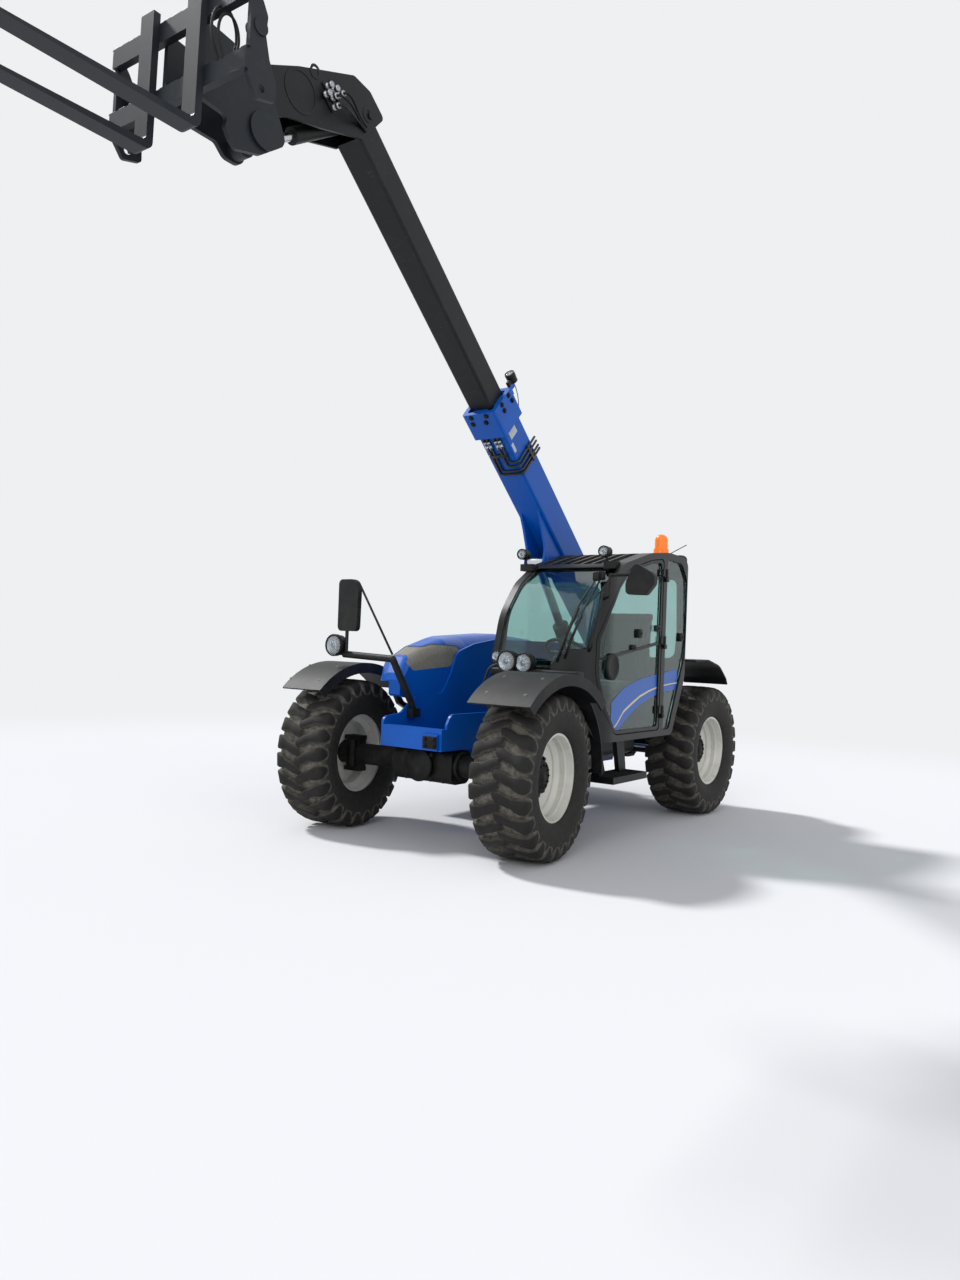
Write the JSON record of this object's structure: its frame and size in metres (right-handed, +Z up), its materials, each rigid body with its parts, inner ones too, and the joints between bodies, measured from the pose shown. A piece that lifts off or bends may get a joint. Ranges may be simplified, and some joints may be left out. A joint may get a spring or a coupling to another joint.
{
  "type": "telehandler",
  "caption": "Telescopic handler with raised boom, pallet forks, side cab, side engine hood and four steered wheels with lugged tyres.",
  "frame": {"origin": "on the ground below the middle of the machine's bounding box", "axes": "+X the machine's left, +Y its rear, +Z up; the forks point along -Y"},
  "size_m": [2.7751, 7.235, 5.3148],
  "materials": {
    "paint_blue": "gloss",
    "paint_black": "satin",
    "axle_black": "satin",
    "rim_white": "satin",
    "carriage_grey": "satin",
    "chrome": "polished",
    "tyre": "matt",
    "glass": "clear",
    "plastic_black": "matt",
    "seat_fabric": "matt",
    "cast_iron": "matt",
    "amber": "gloss"
  },
  "bodies": {
    "chassis": {"chassis_frame": "paint_blue", "boom_pivot_pin": "chrome", "axle_front": "axle_black", "axle_rear": "axle_black", "engine": "cast_iron", "engine_tray": "paint_black", "hood_nose": "paint_blue", "hood_grille": "paint_black", "fuel_tank": "paint_black", "counterweight": "paint_black", "fender_front_left": "plastic_black", "fender_front_right": "plastic_black", "fender_rear_left": "plastic_black", "fender_rear_right": "plastic_black", "cab_frame": "paint_black", "windscreen": "glass", "roof_glass": "glass", "rear_window": "glass", "boom_side_window": "glass", "quarter_window": "glass", "seat_box": "plastic_black", "seat_cushion": "seat_fabric", "seat_back": "seat_fabric", "dashboard": "plastic_black", "steering_wheel": "plastic_black", "beacon": "amber", "roof_lamps": "plastic_black", "headlamps": "plastic_black", "mirror_left": "plastic_black", "mirror_right": "plastic_black", "cab_step": "paint_black"},
    "door": {"door_frame": "paint_black", "door_glass": "glass"},
    "hood": {"engine_hood": "paint_blue"},
    "boom": {"boom_outer": "paint_blue"},
    "boom_tip": {"boom_inner": "paint_black", "boom_head": "paint_black", "carriage_pin": "chrome"},
    "carriage": {"carriage_frame": "carriage_grey", "fork_tine_left": "carriage_grey", "fork_tine_right": "carriage_grey"},
    "lift_barrel": {"lift_cylinder_barrel": "paint_black"},
    "lift_rod": {"lift_cylinder_rod": "chrome"},
    "tilt_barrel": {"tilt_cylinder_barrel": "paint_black"},
    "tilt_rod": {"tilt_cylinder_rod": "chrome"},
    "steering_rod_front": {"tie_rod_front": "chrome"},
    "steering_rod_rear": {"tie_rod_rear": "chrome"},
    "knuckle_front_left": {"knuckle_front_left": "axle_black"},
    "wheel_front_left": {"tyre_front_left": "tyre", "rim_front_left": "rim_white"},
    "knuckle_front_right": {"knuckle_front_right": "axle_black"},
    "wheel_front_right": {"tyre_front_right": "tyre", "rim_front_right": "rim_white"},
    "knuckle_rear_left": {"knuckle_rear_left": "axle_black"},
    "wheel_rear_left": {"tyre_rear_left": "tyre", "rim_rear_left": "rim_white"},
    "knuckle_rear_right": {"knuckle_rear_right": "axle_black"},
    "wheel_rear_right": {"tyre_rear_right": "tyre", "rim_rear_right": "rim_white"}
  },
  "joints": [
    {"name": "boom_lift", "type": "hinge", "parent": "chassis", "child": "boom", "pos_m": [-0.147, 3.104, 1.43], "axis": [-1, 0, 0], "range_deg": [-44.7, 26.3]},
    {"name": "boom_extend", "type": "slide", "parent": "boom", "child": "boom_tip", "axis": [0, -0.7466, 0.6652], "range_m": [-1.95, 0.15]},
    {"name": "carriage_tilt", "type": "hinge", "parent": "boom_tip", "child": "carriage", "pos_m": [-0.147, -1.87196, 4.83748], "axis": [1, 0, 0], "range_deg": [-57, 60]},
    {"name": "lift_barrel_swing", "type": "hinge", "parent": "chassis", "child": "lift_barrel", "pos_m": [-0.147, 2.754, 0.83], "axis": [-1, 0, 0], "range_deg": [-42, 25]},
    {"name": "lift_rod_slide", "type": "slide", "parent": "lift_barrel", "child": "lift_rod", "axis": [0, -0.6211, 0.7837], "range_m": [-0.5, 0.3]},
    {"name": "tilt_barrel_swing", "type": "hinge", "parent": "boom_tip", "child": "tilt_barrel", "pos_m": [-0.147, -0.92382, 5.12447], "axis": [1, 0, 0], "range_deg": [-7, 7]},
    {"name": "tilt_rod_slide", "type": "slide", "parent": "tilt_barrel", "child": "tilt_rod", "axis": [0, -0.8471, -0.5315], "range_m": [-0.27, 0.26]},
    {"name": "door_swing", "type": "hinge", "parent": "chassis", "child": "door", "pos_m": [0.967, 1.934, 1.6], "axis": [0, 0, 1], "range_deg": [0, 85]},
    {"name": "hood_swing", "type": "hinge", "parent": "chassis", "child": "hood", "pos_m": [-0.472, 1.554, 1.53], "axis": [0, 1, 0], "range_deg": [0, 60]},
    {"name": "steer_front_left", "type": "hinge", "parent": "chassis", "child": "knuckle_front_left", "pos_m": [0.693, 0.154, 0.608], "axis": [0, 0, 1], "range_deg": [-39, 25]},
    {"name": "spin_front_left", "type": "hinge", "parent": "knuckle_front_left", "child": "wheel_front_left", "pos_m": [0.79225, 0.16619, 0.608], "axis": [0.9925, 0.1219, 0], "continuous": true},
    {"name": "steer_front_right", "type": "hinge", "parent": "chassis", "child": "knuckle_front_right", "pos_m": [-0.987, 0.154, 0.608], "axis": [0, 0, 1], "range_deg": [-39, 25]},
    {"name": "spin_front_right", "type": "hinge", "parent": "knuckle_front_right", "child": "wheel_front_right", "pos_m": [-1.08625, 0.14181, 0.608], "axis": [0.9925, 0.1219, 0], "continuous": true},
    {"name": "steer_rear_left", "type": "hinge", "parent": "chassis", "child": "knuckle_rear_left", "pos_m": [0.693, 3.004, 0.608], "axis": [0, 0, 1], "range_deg": [-32, 32]},
    {"name": "spin_rear_left", "type": "hinge", "parent": "knuckle_rear_left", "child": "wheel_rear_left", "pos_m": [0.793, 3.004, 0.608], "axis": [1, 0, 0], "continuous": true},
    {"name": "steer_rear_right", "type": "hinge", "parent": "chassis", "child": "knuckle_rear_right", "pos_m": [-0.987, 3.004, 0.608], "axis": [0, 0, 1], "range_deg": [-32, 32]},
    {"name": "spin_rear_right", "type": "hinge", "parent": "knuckle_rear_right", "child": "wheel_rear_right", "pos_m": [-1.087, 3.004, 0.608], "axis": [1, 0, 0], "continuous": true},
    {"name": "steering_rod_front_slide", "type": "slide", "parent": "chassis", "child": "steering_rod_front", "axis": [1, 0, 0], "range_m": [-0.0745, 0.116]},
    {"name": "steering_rod_rear_slide", "type": "slide", "parent": "chassis", "child": "steering_rod_rear", "axis": [1, 0, 0], "range_m": [-0.0955, 0.0955]}
  ],
  "couplings": [
    {"joint": "lift_barrel_swing", "follows": "boom_lift", "ratio": 0.92},
    {"joint": "lift_rod_slide", "follows": "boom_lift", "m_per_rad": 0.625},
    {"joint": "tilt_barrel_swing", "follows": "carriage_tilt", "ratio": 0.11},
    {"joint": "tilt_rod_slide", "follows": "carriage_tilt", "m_per_rad": -0.245},
    {"joint": "steer_front_right", "follows": "steer_front_left", "ratio": 1},
    {"joint": "steering_rod_front_slide", "follows": "steer_front_left", "m_per_rad": -0.17},
    {"joint": "steer_rear_right", "follows": "steer_rear_left", "ratio": 1},
    {"joint": "steering_rod_rear_slide", "follows": "steer_rear_left", "m_per_rad": 0.17}
  ]
}
